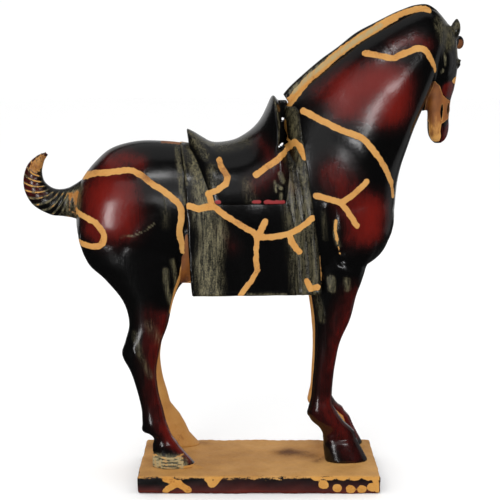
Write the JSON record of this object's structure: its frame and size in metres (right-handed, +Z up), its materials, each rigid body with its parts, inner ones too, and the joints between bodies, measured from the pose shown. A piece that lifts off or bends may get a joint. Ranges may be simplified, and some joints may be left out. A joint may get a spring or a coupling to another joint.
{
  "type": "tomb horse figure",
  "caption": "Saddled horse figure standing square on a slab plinth, neck arched and head turned to its left, in dark lacquered earthenware with ochre brush lines.",
  "frame": {"origin": "middle of the plinth's underside", "axes": "+Z up, +X the way the horse looks, +Y the horse's left"},
  "size_m": [0.4567, 0.1403, 0.4881],
  "materials": {
    "lacquered_earthenware": "glossy black lacquer rubbed through to deep red, with matt ochre brush lines",
    "slipped_earthenware": "matt tan ochre slip on top, dark worn lacquer round the edge"
  },
  "bodies": {
    "root": {"horse": "lacquered_earthenware", "plinth": "slipped_earthenware"}
  },
  "joints": []
}
